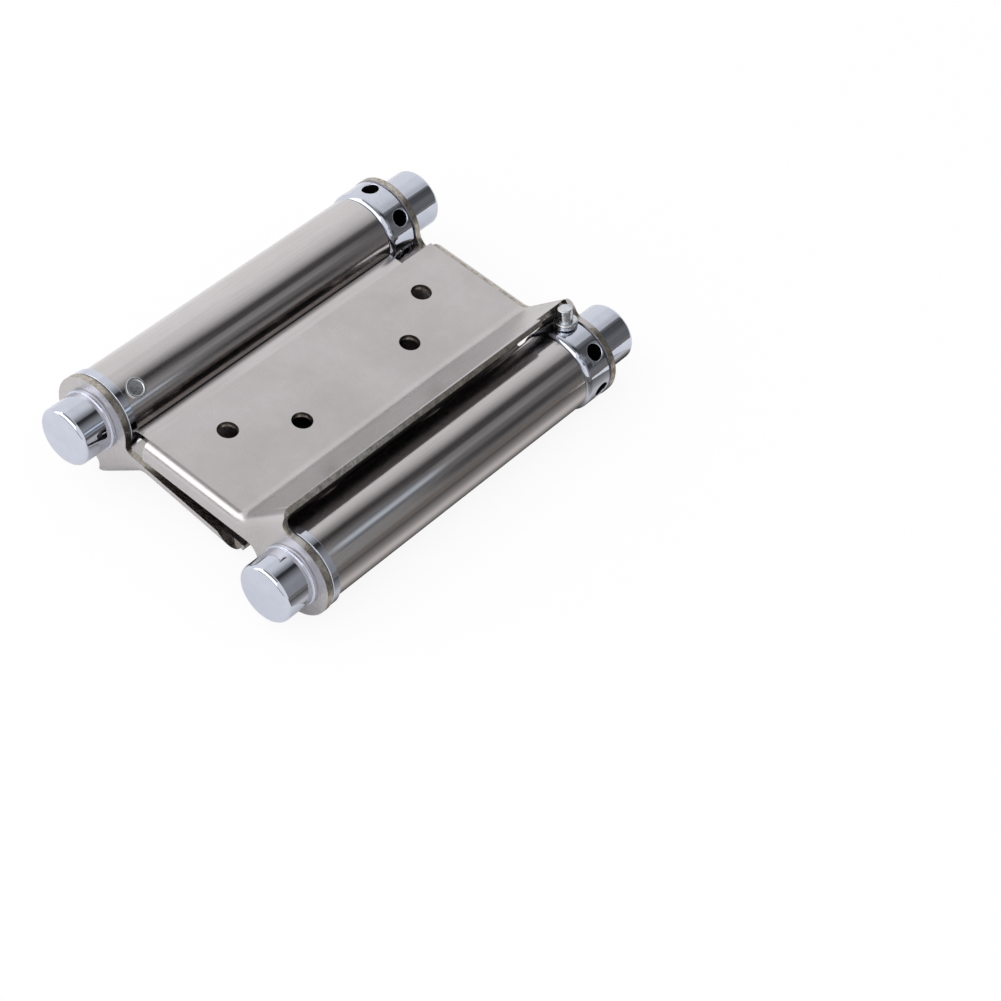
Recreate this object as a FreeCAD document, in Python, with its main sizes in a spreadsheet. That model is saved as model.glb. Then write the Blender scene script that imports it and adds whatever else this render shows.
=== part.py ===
import FreeCAD
import Part
import Sketcher

import math
import os

from FreeCAD import Placement, Rotation, Vector

# Double action spring hinge for a swing door, 76 mm leaves.
#
# A centre sheet is rolled into a spring barrel along each long edge. Each barrel carries one
# leaf: a plate with a turned-up wing beside the barrel and a folded flange at each end, which
# widens into a round ear on the spindle. One leaf lies on the upper side of the centre sheet
# and hangs on the right barrel, the other lies below and hangs on the left barrel.
#
# Frame: +X from the left barrel to the right one, +Y along the barrels from the fixed end to
# the tension end, +Z out of the upper leaf's face. The origin is the centre of the whole hinge.
# Everything on a barrel is drawn about that barrel's own axis and then placed: the right side
# is shifted, the left side is shifted and turned half a turn about Y. At rest the lower leaf
# hangs a little open.

# Driving dimensions: name, value in millimetres or degrees, what it is.
SIZES = [
    ("axis_spacing", 48.0, "distance between the two barrel axes"),
    ("sheet", 1.2, "thickness of the leaf sheet"),
    ("web_sheet", 1.2, "thickness of the centre sheet, barrels included"),
    ("barrel_diameter", 15.3, "outside diameter of a rolled barrel"),
    ("seam_gap", 0.25, "open seam where the rolled edge meets the centre sheet"),
    ("root_radius", 1.6, "bend between the centre sheet and a barrel"),
    ("leaf_near", 39.2, "from the origin back to the outer face of the near ear"),
    ("leaf_far", 37.6, "from the origin forward to the outer face of the far ear"),
    ("free_gap", 4.75, "gap between the free edge of a leaf and the other barrel"),
    ("plate_height", 3.44, "from the middle of the hinge to the outer face of a leaf"),
    ("lower_opening", 5.5, "how far the lower leaf hangs open at rest"),
    ("crease_reach", 12.6, "from a barrel axis to the crease of the wing"),
    ("crease_radius", 3.2, "inside radius of the crease"),
    ("wing_length", 12.3, "length of the turned-up wing"),
    ("wing_angle", 45.5, "angle between the plate and the wing"),
    ("bend_inside", 0.9, "inside radius of the end folds"),
    ("ear_radius", 8.3, "radius of a round ear"),
    ("ear_shoulder", 3.5, "from a barrel axis to the straight side above an ear"),
    ("deep_edge", 0.55, "how far the deep flange passes the middle of the hinge"),
    ("flange_gap", 0.3, "gap between the flanges of the two leaves"),
    ("trim_run", 4.6, "length of the trimmed corner along the shallow flange's edge"),
    ("trim_start", 0.6, "length of the trimmed corner along the plate"),
    ("neck_radius", 3.0, "fillet between the deep flange and its ear"),
    ("shallow_neck", 1.4, "fillet between the shallow flange and its ear"),
    ("ear_root", 2.0, "fillet between an ear and the wing above it"),
    ("screw_hole", 3.92, "diameter of the screw holes"),
    ("outer_row", 7.5, "from the free edge of a leaf to the outer pair of screw holes"),
    ("inner_row", 14.7, "from the free edge of a leaf to the inner pair of screw holes"),
    ("outer_pitch", 50.6, "distance between the outer screw holes"),
    ("inner_pitch", 28.2, "distance between the inner screw holes"),
    ("notch_length", 7.7, "length of the pin notch in the wing"),
    ("notch_gap", 0.15, "gap between the stop pin and its notch"),
    ("spindle_diameter", 5.0, "diameter of the spindle"),
    ("spindle_grip", 4.6, "length of spindle inside a cap"),
    ("running", 0.05, "radial running clearance on the spindle"),
    ("seat", 0.02, "radial clearance of parts that seat tight"),
    ("near_cap_length", 7.0, "length of a near end cap"),
    ("far_cap_length", 8.6, "length of a far end cap"),
    ("cap_diameter", 11.4, "diameter of an end cap"),
    ("cap_ring_proud", 0.3, "how far the ring at the foot of a cap stands out"),
    ("cap_ring_width", 0.8, "width of the ring at the foot of a cap"),
    ("cap_ring_edge", 0.2, "bevel of the ring at the foot of a cap"),
    ("cap_edge", 0.9, "rounding of the cap's face"),
    ("collar_proud", 0.5, "how far the fixed plug and the tension collar stand out of a barrel"),
    ("plug_flange", 1.65, "thickness of the fixed plug's flange"),
    ("plug_edge", 0.2, "bevel of the fixed plug's flange"),
    ("plug_spigot", 9.0, "length of the fixed plug inside the barrel"),
    ("washer_inset", 0.25, "how far the thrust washer stays inside the plug's flange"),
    ("washer_thickness", 0.4, "thickness of the thrust washer"),
    ("end_play", 0.05, "gap between an ear and the washer or the collar beside it"),
    ("rivet_diameter", 3.9, "diameter of the pin that locks the fixed plug"),
    ("rivet_from_end", 3.0, "from the end of the barrel to the locking pin"),
    ("rivet_angle", 57.5, "angle of the locking pin above the plane of the barrels"),
    ("rivet_depth", 3.9, "how deep the locking pin goes below the barrel's surface"),
    ("rivet_proud", 0.3, "how far the locking pin stands out of the barrel"),
    ("rivet_rim", 0.35, "width of the raised rim round the locking pin's dish"),
    ("collar_gap", 0.1, "gap between the barrel and the tension collar"),
    ("collar_width", 6.35, "width of the tension collar outside the barrel"),
    ("collar_spigot", 8.0, "length of the tension collar inside the barrel"),
    ("spigot_clearance", 0.08, "radial clearance of the tension spigot in the barrel"),
    ("collar_lip", 1.1, "rounding of the collar beside the barrel"),
    ("collar_edge", 0.4, "bevel of the collar beside the ear"),
    ("winding_hole", 3.3, "diameter of the holes for the winding bar"),
    ("winding_holes", 5, "number of winding holes round the tension collar beside the pin's"),
    ("winding_pitch", 60.0, "angle between two winding holes"),
    ("winding_angle", 51.8, "angle of the first winding hole about its barrel"),
    ("winding_depth", 3.9, "depth of the holes for the winding bar"),
    ("winding_place", 2.2, "from the collar's end to the ring of winding holes"),
    ("pin_angle", 105.0, "angle of the stop pin about its barrel"),
    ("pin_diameter", 2.8, "diameter of the stop pin"),
    ("pin_height", 3.85, "how far the stop pin stands out of the collar"),
    ("pin_shoulder_diameter", 4.4, "diameter of the stop pin's shoulder"),
    ("pin_shoulder", 1.2, "thickness of the stop pin's shoulder"),
    ("pin_lift", 0.1, "gap below the stop pin and below its shoulder"),
    ("spring_room", 0.8, "gap between the spring's coil and the barrel round it"),
    ("spring_wire", 1.6, "side of the spring's square wire"),
    ("spring_turns", 15, "number of turns of the spring"),
    ("turn_steps", 12, "flat steps in one turn of the spring"),
    ("spring_end_gap", 0.3, "gap between a spring's coil and a plug"),
    ("tang_length", 2.2, "length of the spring's tang inside a plug"),
    ("tang_clearance", 0.15, "gap round a tang in its socket"),
]

document = FreeCAD.newDocument("double_action_hinge")
sheet = document.addObject("Spreadsheet::Sheet", "Sizes")


def fill_sheet():
    """Write each driving dimension with its alias and its meaning."""
    for row, (name, value, meaning) in enumerate(SIZES, start=1):
        sheet.set("A%d" % row, name)
        sheet.set("B%d" % row, str(value))
        sheet.set("C%d" % row, meaning)
        sheet.setAlias("B%d" % row, name)
    document.recompute()


fill_sheet()
NAMES = sorted((name for name, _, _ in SIZES), key=len, reverse=True)


def bound(text):
    """Turn names of sizes into references to the sheet."""
    words = []
    word = ""
    for letter in text + " ":
        if letter.isalnum() or letter == "_":
            word += letter
            continue
        if word in NAMES:
            word = "Sizes." + word
        words.append(word + letter)
        word = ""
    return "".join(words).strip()


def number(text):
    """The value of an expression at the current sizes."""
    value = sheet.evalExpression(bound(text))
    return float(getattr(value, "Value", value))


# Lengths that several pieces share, as expressions of the sheet.
SPINDLE_RADIUS = "spindle_diameter / 2"
BARREL_RADIUS = "barrel_diameter / 2"
BARREL_BORE = "(barrel_diameter / 2 - web_sheet)"
COLLAR_RADIUS = "(barrel_diameter / 2 + collar_proud)"
NEAR_EAR = "-leaf_near"
FAR_EAR = "leaf_far"
LEAF_REACH = "(axis_spacing - barrel_diameter / 2 - free_gap)"
LEAF_LENGTH = "(leaf_near + leaf_far)"
LEAF_MIDDLE = "(leaf_far - leaf_near) / 2"
BEND_OUTSIDE = "(bend_inside + sheet)"
WING_RUN = "wing_length * cos(wing_angle * 1deg)"
WING_RISE = "wing_length * sin(wing_angle * 1deg)"
TIP_X = "(-crease_reach + " + WING_RUN + ")"
TIP_Z = "(plate_height + " + WING_RISE + ")"
TIP_UNDER_X = "(" + TIP_X + " + sheet * sin(wing_angle * 1deg))"
TIP_UNDER_Z = "(" + TIP_Z + " - sheet * cos(wing_angle * 1deg))"
UNDER_HEIGHT = "(plate_height - sheet)"
SHALLOW_EDGE = "(flange_gap + deep_edge)"
CREASE_UNDER_X = "(-crease_reach + sheet * tan(wing_angle * 0.5deg))"
WASHER_NEAR = "(-leaf_near + sheet + end_play)"
PLUG_NEAR = "(-leaf_near + sheet + end_play + washer_thickness)"
BARREL_NEAR = "(-leaf_near + sheet + end_play + washer_thickness + plug_flange)"
PLUG_END = "(" + BARREL_NEAR + " + plug_spigot)"
COLLAR_END = "(leaf_far - sheet - end_play)"
COLLAR_START = "(leaf_far - sheet - end_play - collar_width)"
BARREL_FAR = "(leaf_far - sheet - end_play - collar_width - collar_gap)"
SPIGOT_END = "(" + COLLAR_START + " - collar_spigot)"
HOLE_PLACE = "(leaf_far - sheet - end_play - winding_place)"
HOLE_FLOOR = "(barrel_diameter / 2 + collar_proud - winding_depth)"
PIN_TOP = "(barrel_diameter / 2 + collar_proud + pin_height)"
PIN_SEAT = "(barrel_diameter / 2 + collar_proud + pin_lift)"
NOTCH_START = "(" + HOLE_PLACE + " + pin_diameter / 2 + notch_gap - notch_length)"
SPRING_RADIUS = "(barrel_diameter / 2 - web_sheet - spring_room - spring_wire / 2)"
SPRING_START = "(" + PLUG_END + " + spring_end_gap + spring_wire / 2)"
SPRING_END = "(" + SPIGOT_END + " - spring_end_gap - spring_wire / 2)"
RIVET_PLACE = "(" + BARREL_NEAR + " + rivet_from_end)"
RIVET_ROOT = "(barrel_diameter / 2 - rivet_depth)"
CUTTER_MARGIN = "2 * ear_radius"

# Flat steps that stand for one rounded edge of a turned piece.
ROUND_STEPS = 3


def origin_feature(body, role):
    """One of a body's own origin planes or axes."""
    for feature in body.Origin.OriginFeatures:
        if feature.Role == role:
            return feature
    raise ValueError(role)


def new_body(label):
    """An empty body whose label is its node's name."""
    body = document.addObject("PartDesign::Body", label)
    body.Label = label
    return body


def new_sketch(body, name, plane, height=None):
    """A sketch on an origin plane of its body, lifted along the plane's normal."""
    sketch = body.newObject("Sketcher::SketchObject", body.Name + "_" + name)
    sketch.AttachmentSupport = (origin_feature(body, plane), [""])
    sketch.MapMode = "FlatFace"
    if height is not None:
        sketch.setExpression(".AttachmentOffset.Base.z", bound(height))
    return sketch


def fix_point(sketch, geometry, end, across, along):
    """Hold a point of a sketch at two bound distances from its origin."""
    for kind, axis, text in (("DistanceX", -2, across), ("DistanceY", -1, along)):
        if abs(number(text)) < 1e-7:
            sketch.addConstraint(Sketcher.Constraint("PointOnObject", geometry, end, axis))
            continue
        index = sketch.addConstraint(Sketcher.Constraint(kind, -1, 1, geometry, end, number(text)))
        sketch.setExpression("Constraints[%d]" % index, bound(text))


def draw_polygon(sketch, corners):
    """Closed outline of straight lines; each corner is a pair of expressions."""
    points = [Vector(number(across), number(along), 0) for across, along in corners]
    first = sketch.GeometryCount
    count = len(points)
    for k in range(count):
        sketch.addGeometry(Part.LineSegment(points[k], points[(k + 1) % count]), False)
    for k in range(count):
        after = first + (k + 1) % count
        sketch.addConstraint(Sketcher.Constraint("Coincident", first + k, 2, after, 1))
    for k, (across, along) in enumerate(corners):
        fix_point(sketch, first + k, 1, across, along)


def draw_circle(sketch, across, along, radius):
    """A circle with a bound centre and radius."""
    centre = Vector(number(across), number(along), 0)
    circle = sketch.addGeometry(Part.Circle(centre, Vector(0, 0, 1), number(radius)), False)
    fix_point(sketch, circle, 3, across, along)
    index = sketch.addConstraint(Sketcher.Constraint("Radius", circle, number(radius)))
    sketch.setExpression("Constraints[%d]" % index, bound(radius))


def sweep(body, kind, sketch, length, name):
    """Pad or pocket towards +Y from a sketch on the XZ plane, or towards +Z from the XY plane."""
    feature = body.newObject("PartDesign::" + kind, body.Name + "_" + name)
    feature.Profile = sketch
    feature.setExpression("Length", bound(length))
    along_y = origin_feature(body, "XZ_Plane") in [item[0] for item in sketch.AttachmentSupport]
    feature.Reversed = along_y if kind == "Pad" else not along_y
    before = body.Shape.Volume if kind == "Pocket" else None
    document.recompute()
    if kind == "Pocket" and not body.Shape.Volume < before:
        raise ValueError(feature.Name + " cuts nothing")
    return feature


def across_y(body, name, station):
    """A sketch square to the barrels at a place along Y."""
    return new_sketch(body, name, "XZ_Plane", "-(" + station + ")")


def turn(body, corners, name="turning"):
    """Revolve an outline given as radius and place along Y."""
    sketch = new_sketch(body, name + "_outline", "XY_Plane")
    draw_polygon(sketch, corners)
    feature = body.newObject("PartDesign::Revolution", body.Name + "_" + name)
    feature.Profile = sketch
    feature.ReferenceAxis = (sketch, ["V_Axis"])
    feature.Angle = 360
    document.recompute()
    return feature


def rounded(radius, station, size, inwards):
    """Corners that round the edge of a turned outline in flat steps, from its face outwards.

    The face lies at the station, and inwards is the sign that leads from it into the piece.
    """
    corners = []
    for step in range(ROUND_STEPS + 1):
        turned = "(%d * 90deg / %d)" % (step, ROUND_STEPS)
        corners.append((
            "%s - %s * (1 - sin(%s))" % (radius, size, turned),
            "%s %s %s * (1 - cos(%s))" % (station, inwards, size, turned),
        ))
    return corners


def radial_cylinder(body, kind, name, angle, station, start, end, diameter):
    """A cylinder that points away from the barrel axis at an angle above +X."""
    feature = body.newObject("PartDesign::" + kind + "Cylinder", body.Name + "_" + name)
    feature.AttachmentSupport = (origin_feature(body, "XY_Plane"), [""])
    feature.MapMode = "FlatFace"
    tilt = 90 - number(angle)
    feature.AttachmentOffset = Placement(Vector(0, 0, 0), Rotation(Vector(0, 1, 0), tilt))
    feature.setExpression(".AttachmentOffset.Rotation.Angle", bound("90deg - (%s) * 1deg" % angle))
    feature.setExpression(
        ".AttachmentOffset.Base.x", bound("(%s) * cos((%s) * 1deg)" % (start, angle)))
    feature.setExpression(".AttachmentOffset.Base.y", bound(station))
    feature.setExpression(
        ".AttachmentOffset.Base.z", bound("(%s) * sin((%s) * 1deg)" % (start, angle)))
    feature.setExpression("Radius", bound("(%s) / 2" % diameter))
    feature.setExpression("Height", bound("(%s) - (%s)" % (end, start)))
    document.recompute()
    return feature


def middle(edge):
    """The point halfway along an edge."""
    return edge.valueAt((edge.FirstParameter + edge.LastParameter) / 2)


def round_edges(body, name, radius, test):
    """Fillet the edges of the body that pass a test."""
    base = body.Tip
    chosen = ["Edge%d" % (k + 1) for k, edge in enumerate(base.Shape.Edges) if test(edge)]
    if not chosen:
        raise ValueError(body.Name + " has no edge for " + name)
    feature = body.newObject("PartDesign::Fillet", body.Name + "_" + name)
    feature.Base = (base, chosen)
    feature.setExpression("Radius", bound(radius))
    document.recompute()
    if not feature.isValid():
        raise ValueError(feature.Name + " fails")
    return feature


def near(value, target, room=0.02):
    """True where two lengths agree."""
    return abs(value - target) < room


def edge_along_y(x, z, room=0.05):
    """Test for a straight edge parallel to the barrels."""
    wanted_x = number(x)
    wanted_z = number(z)

    def test(edge):
        point = middle(edge)
        along = edge.tangentAt(edge.FirstParameter)
        straight = isinstance(edge.Curve, Part.Line) and abs(along.y) > 0.999
        return straight and near(point.x, wanted_x, room) and near(point.z, wanted_z, room)

    return test


class Side:
    """One barrel's place: the right one is shifted, the left one also turned about Y.

    What swings with the leaf is also turned by the leaf's opening at rest.
    """

    def __init__(self, name, turned, opening):
        self.name = name
        self.turned = turned
        self.opening = opening

    def place(self, body, swings=False):
        """Put a body drawn about the barrel axis in its place."""
        half_turn = "180deg" if self.turned else "0deg"
        angle = "%s + (%s) * 1deg" % (half_turn, self.opening if swings else "0")
        body.Placement = Placement(Vector(0, 0, 0), Rotation(Vector(0, 1, 0), number(angle)))
        body.setExpression(".Placement.Rotation.Angle", bound(angle))
        sign = "-" if self.turned else ""
        body.setExpression(".Placement.Base.x", bound(sign + "axis_spacing / 2"))

    def body(self, piece):
        """An empty body for one of this side's pieces."""
        return new_body(self.name + "_" + piece)


RIGHT = Side("right", False, "0")
LEFT = Side("left", True, "lower_opening")


# Centre sheet with both barrels

def make_barrel_sheet():
    """One sheet: a flat web between two rolled barrels, each seam closing on the web."""
    body = new_body("barrel_sheet")
    length = "(" + BARREL_FAR + " - " + BARREL_NEAR + ")"
    half_web = "(axis_spacing / 2 - barrel_diameter / 2 + web_sheet / 2)"
    sketch = across_y(body, "web_outline", BARREL_NEAR)
    draw_polygon(sketch, [
        ("-" + half_web, "-web_sheet / 2"),
        (half_web, "-web_sheet / 2"),
        (half_web, "web_sheet / 2"),
        ("-" + half_web, "web_sheet / 2"),
    ])
    sweep(body, "Pad", sketch, length, "web")
    for name, sign in (("right", ""), ("left", "-")):
        sketch = across_y(body, name + "_barrel_outline", BARREL_NEAR)
        draw_circle(sketch, sign + "axis_spacing / 2", "0", BARREL_RADIUS)
        draw_circle(sketch, sign + "axis_spacing / 2", "0", BARREL_BORE)
        sweep(body, "Pad", sketch, length, name + "_barrel")
    for name, sign, other in (("right", "", "-"), ("left", "-", "")):
        sketch = across_y(body, name + "_seam_outline", BARREL_NEAR)
        inner = sign + "(axis_spacing / 2 - barrel_diameter / 2 - seam_gap)"
        outer = sign + "(axis_spacing / 2 - barrel_diameter / 2 + 2 * web_sheet)"
        draw_polygon(sketch, [
            (inner, other + "web_sheet / 2"),
            (outer, other + "web_sheet / 2"),
            (outer, other + "(web_sheet / 2 + seam_gap)"),
            (inner, other + "(web_sheet / 2 + seam_gap)"),
        ])
        sweep(body, "Pocket", sketch, length, name + "_seam")
    root = "sqrt((barrel_diameter / 2)^2 - (web_sheet / 2)^2)"
    left_root = edge_along_y("-axis_spacing / 2 + " + root, "-web_sheet / 2")
    right_root = edge_along_y("axis_spacing / 2 - " + root, "web_sheet / 2")
    round_edges(body, "roots", "root_radius", lambda edge: left_root(edge) or right_root(edge))
    for name, sign, turned in (("right", "", 180), ("left", "-", 0)):
        hole = body.newObject("PartDesign::SubtractiveCylinder", "barrel_sheet_%s_pin_hole" % name)
        hole.AttachmentSupport = (origin_feature(body, "XY_Plane"), [""])
        hole.MapMode = "FlatFace"
        angle = 90 - number("rivet_angle") + turned
        hole.AttachmentOffset = Placement(Vector(0, 0, 0), Rotation(Vector(0, 1, 0), angle))
        hole.setExpression(
            ".AttachmentOffset.Rotation.Angle", bound("%ddeg - rivet_angle * 1deg" % (90 + turned)))
        hole.setExpression(".AttachmentOffset.Base.x", bound(sign + "axis_spacing / 2"))
        hole.setExpression(".AttachmentOffset.Base.y", bound(RIVET_PLACE))
        hole.setExpression("Radius", bound("rivet_diameter / 2 + seat"))
        hole.setExpression("Height", bound("barrel_diameter"))
        document.recompute()
    return body


# Leaves

def leaf_outline():
    """Section of a leaf without its ear, seen along the barrel, about the barrel axis."""
    return [
        ("-" + LEAF_REACH, SHALLOW_EDGE),
        ("-" + LEAF_REACH, "plate_height"),
        ("-crease_reach", "plate_height"),
        (TIP_X, TIP_Z),
        (TIP_UNDER_X, TIP_UNDER_Z),
        ("-ear_shoulder", "ear_radius / 2"),
        ("-ear_shoulder", SHALLOW_EDGE),
    ]


def leaf_inside():
    """Everything below the sheet and beyond the end of the wing."""
    return [
        ("-" + LEAF_REACH + " - " + CUTTER_MARGIN, "-" + CUTTER_MARGIN),
        ("-" + LEAF_REACH + " - " + CUTTER_MARGIN, UNDER_HEIGHT),
        (CREASE_UNDER_X, UNDER_HEIGHT),
        (TIP_UNDER_X, TIP_UNDER_Z),
        (CUTTER_MARGIN, TIP_UNDER_Z),
        (CUTTER_MARGIN, "-" + CUTTER_MARGIN),
    ]


def deep_part():
    """The part of the deep flange that passes the middle of the hinge."""
    return [
        ("-" + LEAF_REACH, "-deep_edge"),
        ("-ear_radius / 2", "-deep_edge"),
        ("-ear_radius / 2", SHALLOW_EDGE),
        ("-" + LEAF_REACH, SHALLOW_EDGE),
    ]


def shallow_trim():
    """The corner that the shallow flange lacks at its free end, fold included."""
    rise = "(plate_height - flange_gap - deep_edge)"
    slope = "(trim_run - trim_start) / " + rise
    return [
        ("-" + LEAF_REACH + " - sheet", SHALLOW_EDGE + " - sheet"),
        ("-" + LEAF_REACH + " - sheet", "plate_height + sheet"),
        ("-" + LEAF_REACH + " + trim_start - sheet * " + slope, "plate_height + sheet"),
        ("-" + LEAF_REACH + " + trim_run", SHALLOW_EDGE),
        ("-" + LEAF_REACH + " + trim_run", SHALLOW_EDGE + " - sheet"),
    ]


def notch_outline():
    """The notch in the end of the wing, its face parallel to the stop pin."""
    cosine = "cos(pin_angle * 1deg)"
    sine = "sin(pin_angle * 1deg)"
    face = "(pin_diameter / 2 + notch_gap)"
    low = "barrel_diameter / 2"
    high = "(" + PIN_TOP + " + 2 * sheet)"
    corners = []
    for out, side in ((low, face), (high, face), (high, "-pin_diameter"), (low, "-pin_diameter")):
        across = "%s * %s - (%s) * %s" % (out, cosine, side, sine)
        height = "%s * %s + (%s) * %s" % (out, sine, side, cosine)
        corners.append((across, height))
    return corners


def make_leaf(side, deep_at_near):
    """A leaf folded from one sheet; one end flange is deep, the other is shallow."""
    body = side.body("leaf")
    sketch = across_y(body, "outline", NEAR_EAR)
    draw_polygon(sketch, leaf_outline())
    sweep(body, "Pad", sketch, LEAF_LENGTH, "block")
    sketch = across_y(body, "ear_outline", NEAR_EAR)
    draw_circle(sketch, "0", "0", "ear_radius")
    sweep(body, "Pad", sketch, LEAF_LENGTH, "ears")
    round_edges(body, "crease", "crease_radius", edge_along_y("-crease_reach", "plate_height"))

    plate = number("plate_height")
    tip_x = number(TIP_X)
    tip_z = number(TIP_Z)
    ends = (number(NEAR_EAR), number(FAR_EAR))

    def on_top(edge):
        point = middle(edge)
        at_end = near(point.y, ends[0]) or near(point.y, ends[1])
        return at_end and point.z > plate - 0.02 and point.x < tip_x + 0.01 and point.z < tip_z

    round_edges(body, "folds_outside", BEND_OUTSIDE, on_top)
    sketch = across_y(body, "inside_outline", NEAR_EAR + " + sheet")
    draw_polygon(sketch, leaf_inside())
    sweep(body, "Pocket", sketch, LEAF_LENGTH + " - 2 * sheet", "inside")
    round_edges(body, "crease_under", "crease_radius + sheet",
                edge_along_y(CREASE_UNDER_X, UNDER_HEIGHT))

    under = number(UNDER_HEIGHT)
    under_x = number(TIP_UNDER_X)
    under_crease = number(CREASE_UNDER_X)
    steepness = math.tan(math.radians(number("wing_angle")))
    thickness = number("sheet")

    def under_top(edge):
        point = middle(edge)
        at_end = near(point.y, ends[0] + thickness) or near(point.y, ends[1] - thickness)
        surface = max(under, under + (point.x - under_crease) * steepness)
        return at_end and point.x < under_x - 0.02 and point.z > surface - 0.02

    round_edges(body, "folds_inside", "bend_inside", under_top)

    deep_start = NEAR_EAR if deep_at_near else FAR_EAR + " - sheet"
    sketch = across_y(body, "deep_outline", deep_start)
    draw_polygon(sketch, deep_part())
    sweep(body, "Pad", sketch, "sheet", "deep_flange")
    shallow_start = FAR_EAR + " - " + BEND_OUTSIDE if deep_at_near else NEAR_EAR
    sketch = across_y(body, "trim_outline", shallow_start)
    draw_polygon(sketch, shallow_trim())
    sweep(body, "Pocket", sketch, BEND_OUTSIDE, "trim")
    sketch = across_y(body, "notch_outline", NOTCH_START)
    draw_polygon(sketch, notch_outline())
    sweep(body, "Pocket", sketch, "notch_length", "notch")

    neck_x = "-sqrt(ear_radius^2 - deep_edge^2)"
    round_edges(body, "neck", "neck_radius", edge_along_y(neck_x, "-deep_edge"))
    shallow_x = "-sqrt(ear_radius^2 - (flange_gap + deep_edge)^2)"
    round_edges(body, "shallow_neck", "shallow_neck", edge_along_y(shallow_x, SHALLOW_EDGE))
    ear_top = "sqrt(ear_radius^2 - ear_shoulder^2)"
    round_edges(body, "ear_roots", "ear_root", edge_along_y("-ear_shoulder", ear_top, 0.9))

    sketch = across_y(body, "bore_outline", NEAR_EAR)
    draw_circle(sketch, "0", "0", SPINDLE_RADIUS + " + seat")
    sweep(body, "Pocket", sketch, LEAF_LENGTH, "bore")
    sketch = new_sketch(body, "screw_outline", "XY_Plane")
    for row, pitch in (("outer_row", "outer_pitch"), ("inner_row", "inner_pitch")):
        for sign in ("-", "+"):
            place = "%s %s %s / 2" % (LEAF_MIDDLE, sign, pitch)
            draw_circle(sketch, "-" + LEAF_REACH + " + " + row, place, "screw_hole / 2")
    sweep(body, "Pocket", sketch, "plate_height + sheet", "screw_holes")
    side.place(body, swings=True)
    return body


# Pieces on each barrel

def make_spindle(side):
    """The rod through both ears and the barrel."""
    body = side.body("spindle")
    turn(body, [
        ("0", NEAR_EAR + " - spindle_grip"),
        (SPINDLE_RADIUS, NEAR_EAR + " - spindle_grip"),
        (SPINDLE_RADIUS, FAR_EAR + " + spindle_grip"),
        ("0", FAR_EAR + " + spindle_grip"),
    ])
    side.place(body)
    return body


def make_cap(side, name, length, foot, outwards, inwards):
    """A turned cap pressed on one end of the spindle, with a ring at its foot."""
    body = side.body(name)
    face = foot + outwards + length
    ring = "cap_diameter / 2 + cap_ring_proud"
    bore = SPINDLE_RADIUS + " + seat"
    turn(body, [
        ("0", face),
        *rounded("cap_diameter / 2", face, "cap_edge", inwards),
        ("cap_diameter / 2", foot + outwards + "cap_ring_width"),
        (ring + " - cap_ring_edge", foot + outwards + "cap_ring_width"),
        (ring, foot + outwards + "(cap_ring_width - cap_ring_edge)"),
        (ring, foot),
        (bore, foot),
        (bore, foot + outwards + "(spindle_grip + seat)"),
        ("0", foot + outwards + "(spindle_grip + seat)"),
    ])
    side.place(body)
    return body


def make_fixed_plug(side):
    """The plug that closes the near end of the barrel and holds the still end of the spring."""
    body = side.body("fixed_plug")
    bore = SPINDLE_RADIUS + " + running"
    turn(body, [
        (bore, PLUG_NEAR),
        (COLLAR_RADIUS + " - plug_edge", PLUG_NEAR),
        (COLLAR_RADIUS, PLUG_NEAR + " + plug_edge"),
        (COLLAR_RADIUS, BARREL_NEAR),
        (BARREL_BORE + " - seat", BARREL_NEAR),
        (BARREL_BORE + " - seat", PLUG_END),
        (bore, PLUG_END),
    ])
    radial_cylinder(body, "Subtractive", "pin_hole", "rivet_angle + 180", RIVET_PLACE,
                    RIVET_ROOT + " - seat", BARREL_RADIUS, "rivet_diameter + 2 * seat")
    cut_tang_socket(body, PLUG_END + " - tang_length")
    side.place(body)
    return body


def cut_tang_socket(body, start):
    """A square socket for one tang of the spring."""
    sketch = across_y(body, "socket_outline", start)
    half = "(spring_wire / 2 + tang_clearance)"
    draw_polygon(sketch, [
        (SPRING_RADIUS + " - " + half, "-" + half),
        (SPRING_RADIUS + " + " + half, "-" + half),
        (SPRING_RADIUS + " + " + half, half),
        (SPRING_RADIUS + " - " + half, half),
    ])
    sweep(body, "Pocket", sketch, "tang_length", "socket")


def make_locking_pin(side):
    """The pin through the barrel wall that keeps the fixed plug from turning."""
    body = side.body("locking_pin")
    radial_cylinder(body, "Additive", "shank", "rivet_angle + 180", RIVET_PLACE,
                    RIVET_ROOT, BARREL_RADIUS + " + rivet_proud", "rivet_diameter")
    radial_cylinder(body, "Subtractive", "dish", "rivet_angle + 180", RIVET_PLACE,
                    BARREL_RADIUS + " + rivet_proud / 2",
                    BARREL_RADIUS + " + 2 * rivet_proud", "rivet_diameter - 2 * rivet_rim")
    side.place(body)
    return body


def make_thrust_washer(side):
    """The washer between the near ear and the fixed plug."""
    body = side.body("thrust_washer")
    turn(body, [
        (SPINDLE_RADIUS + " + running", WASHER_NEAR),
        (COLLAR_RADIUS + " - washer_inset", WASHER_NEAR),
        (COLLAR_RADIUS + " - washer_inset", PLUG_NEAR),
        (SPINDLE_RADIUS + " + running", PLUG_NEAR),
    ])
    side.place(body)
    return body


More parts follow.
